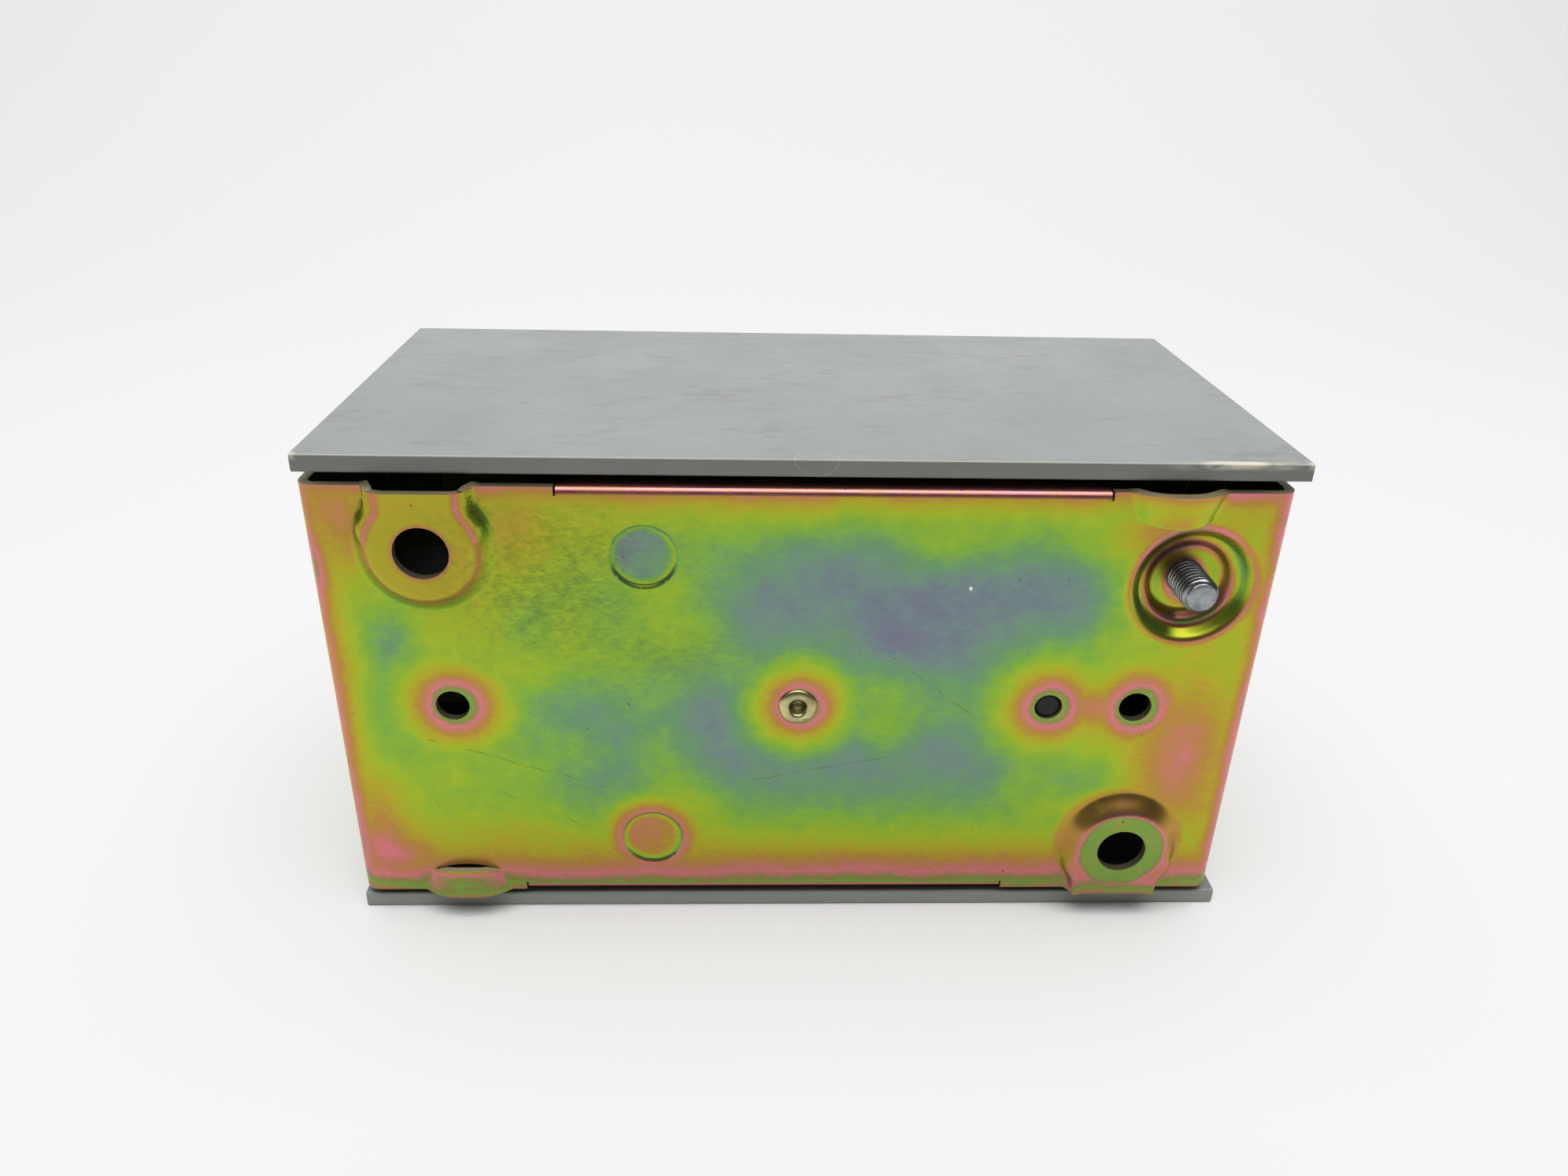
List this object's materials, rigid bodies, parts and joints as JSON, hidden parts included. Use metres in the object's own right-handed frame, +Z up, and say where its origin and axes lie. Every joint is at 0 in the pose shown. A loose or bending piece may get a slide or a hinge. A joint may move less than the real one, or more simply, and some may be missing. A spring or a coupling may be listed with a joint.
{
  "type": "circuit breaker enclosure",
  "caption": "Small wall-mount breaker enclosure with a chromated steel back pan, a grey slide-on cover and plug-on toggle breakers.",
  "frame": {"origin": "middle of the outer face of the cover's lower long side, on which the box lies, half way through the cover's depth", "axes": "+X along the box from the line end to the load end, +Y from the wall side to the front with the handles, +Z up through the width of the box"},
  "size_m": [0.127, 0.0809, 0.0708],
  "materials": {
    "grey_moulding": "mid-grey moulded plastic, satin, worn edges",
    "chromated_steel": "zinc plate with iridescent yellow chromate",
    "bright_zinc": "bright zinc-plated steel",
    "plated_steel_dark": "zinc-plated steel, dulled",
    "paper_label": "blank directory label",
    "black_moulding": "black phenolic moulding",
    "case_moulding": "black glossy phenolic case",
    "handle_moulding": "black moulded toggle",
    "tinned_copper": "tin-plated copper",
    "lug_aluminium": "extruded aluminium",
    "brass": "brass bar",
    "copper": "bare copper",
    "bimetal_strip": "bimetal"
  },
  "bodies": {
    "box": {"base_pan": "chromated_steel", "cover": "grey_moulding", "cover_screws": "bright_zinc", "circuit_label": "paper_label", "ground_screw": "bright_zinc", "ground_cup_washer": "bright_zinc", "centre_rivet": "plated_steel_dark", "interior_base": "black_moulding", "bus_screws": "bright_zinc", "line_lug_screws": "bright_zinc", "neutral_bar": "brass", "neutral_bar_screws": "bright_zinc", "hook_rail": "plated_steel_dark", "line_bus_1": "tinned_copper", "line_lug_1": "lug_aluminium", "breaker_1_case_base": "case_moulding", "breaker_1_case_cover": "case_moulding", "breaker_1_case_rivets": "plated_steel_dark", "breaker_1_arm_pivot": "plated_steel_dark", "breaker_1_line_jaw": "tinned_copper", "breaker_1_bimetal": "bimetal_strip", "breaker_1_magnet_yoke": "plated_steel_dark", "breaker_1_trip_cradle": "plated_steel_dark", "breaker_1_arc_chute": "plated_steel_dark", "breaker_1_load_terminal": "copper", "breaker_1_load_screw": "bright_zinc", "line_bus_2": "tinned_copper", "line_lug_2": "lug_aluminium", "breaker_2_case_base": "case_moulding", "breaker_2_case_cover": "case_moulding", "breaker_2_case_rivets": "plated_steel_dark", "breaker_2_arm_pivot": "plated_steel_dark", "breaker_2_line_jaw": "tinned_copper", "breaker_2_bimetal": "bimetal_strip", "breaker_2_magnet_yoke": "plated_steel_dark", "breaker_2_trip_cradle": "plated_steel_dark", "breaker_2_arc_chute": "plated_steel_dark", "breaker_2_load_terminal": "copper", "breaker_2_load_screw": "bright_zinc"},
    "handle_1": {"breaker_1_handle": "handle_moulding"},
    "contact_arm_1": {"breaker_1_contact_arm": "copper"},
    "handle_2": {"breaker_2_handle": "handle_moulding"},
    "contact_arm_2": {"breaker_2_contact_arm": "copper"}
  },
  "joints": [
    {"name": "handle_1_toggle", "type": "hinge", "parent": "box", "child": "handle_1", "pos_m": [-0.0006, 0.0198, 0.0226], "axis": [0, 0, 1], "range_deg": [0, 32]},
    {"name": "contact_arm_1_close", "type": "hinge", "parent": "box", "child": "contact_arm_1", "pos_m": [0.0024, 0.0098, 0.0226], "axis": [0, 0, 1], "range_deg": [0, 15]},
    {"name": "handle_2_toggle", "type": "hinge", "parent": "box", "child": "handle_2", "pos_m": [-0.0006, 0.0198, 0.0482], "axis": [0, 0, 1], "range_deg": [0, 32]},
    {"name": "contact_arm_2_close", "type": "hinge", "parent": "box", "child": "contact_arm_2", "pos_m": [0.0024, 0.0098, 0.0482], "axis": [0, 0, 1], "range_deg": [0, 15]}
  ],
  "couplings": [
    {"joint": "contact_arm_1_close", "follows": "handle_1_toggle", "ratio": 0.46875},
    {"joint": "contact_arm_2_close", "follows": "handle_2_toggle", "ratio": 0.46875}
  ]
}
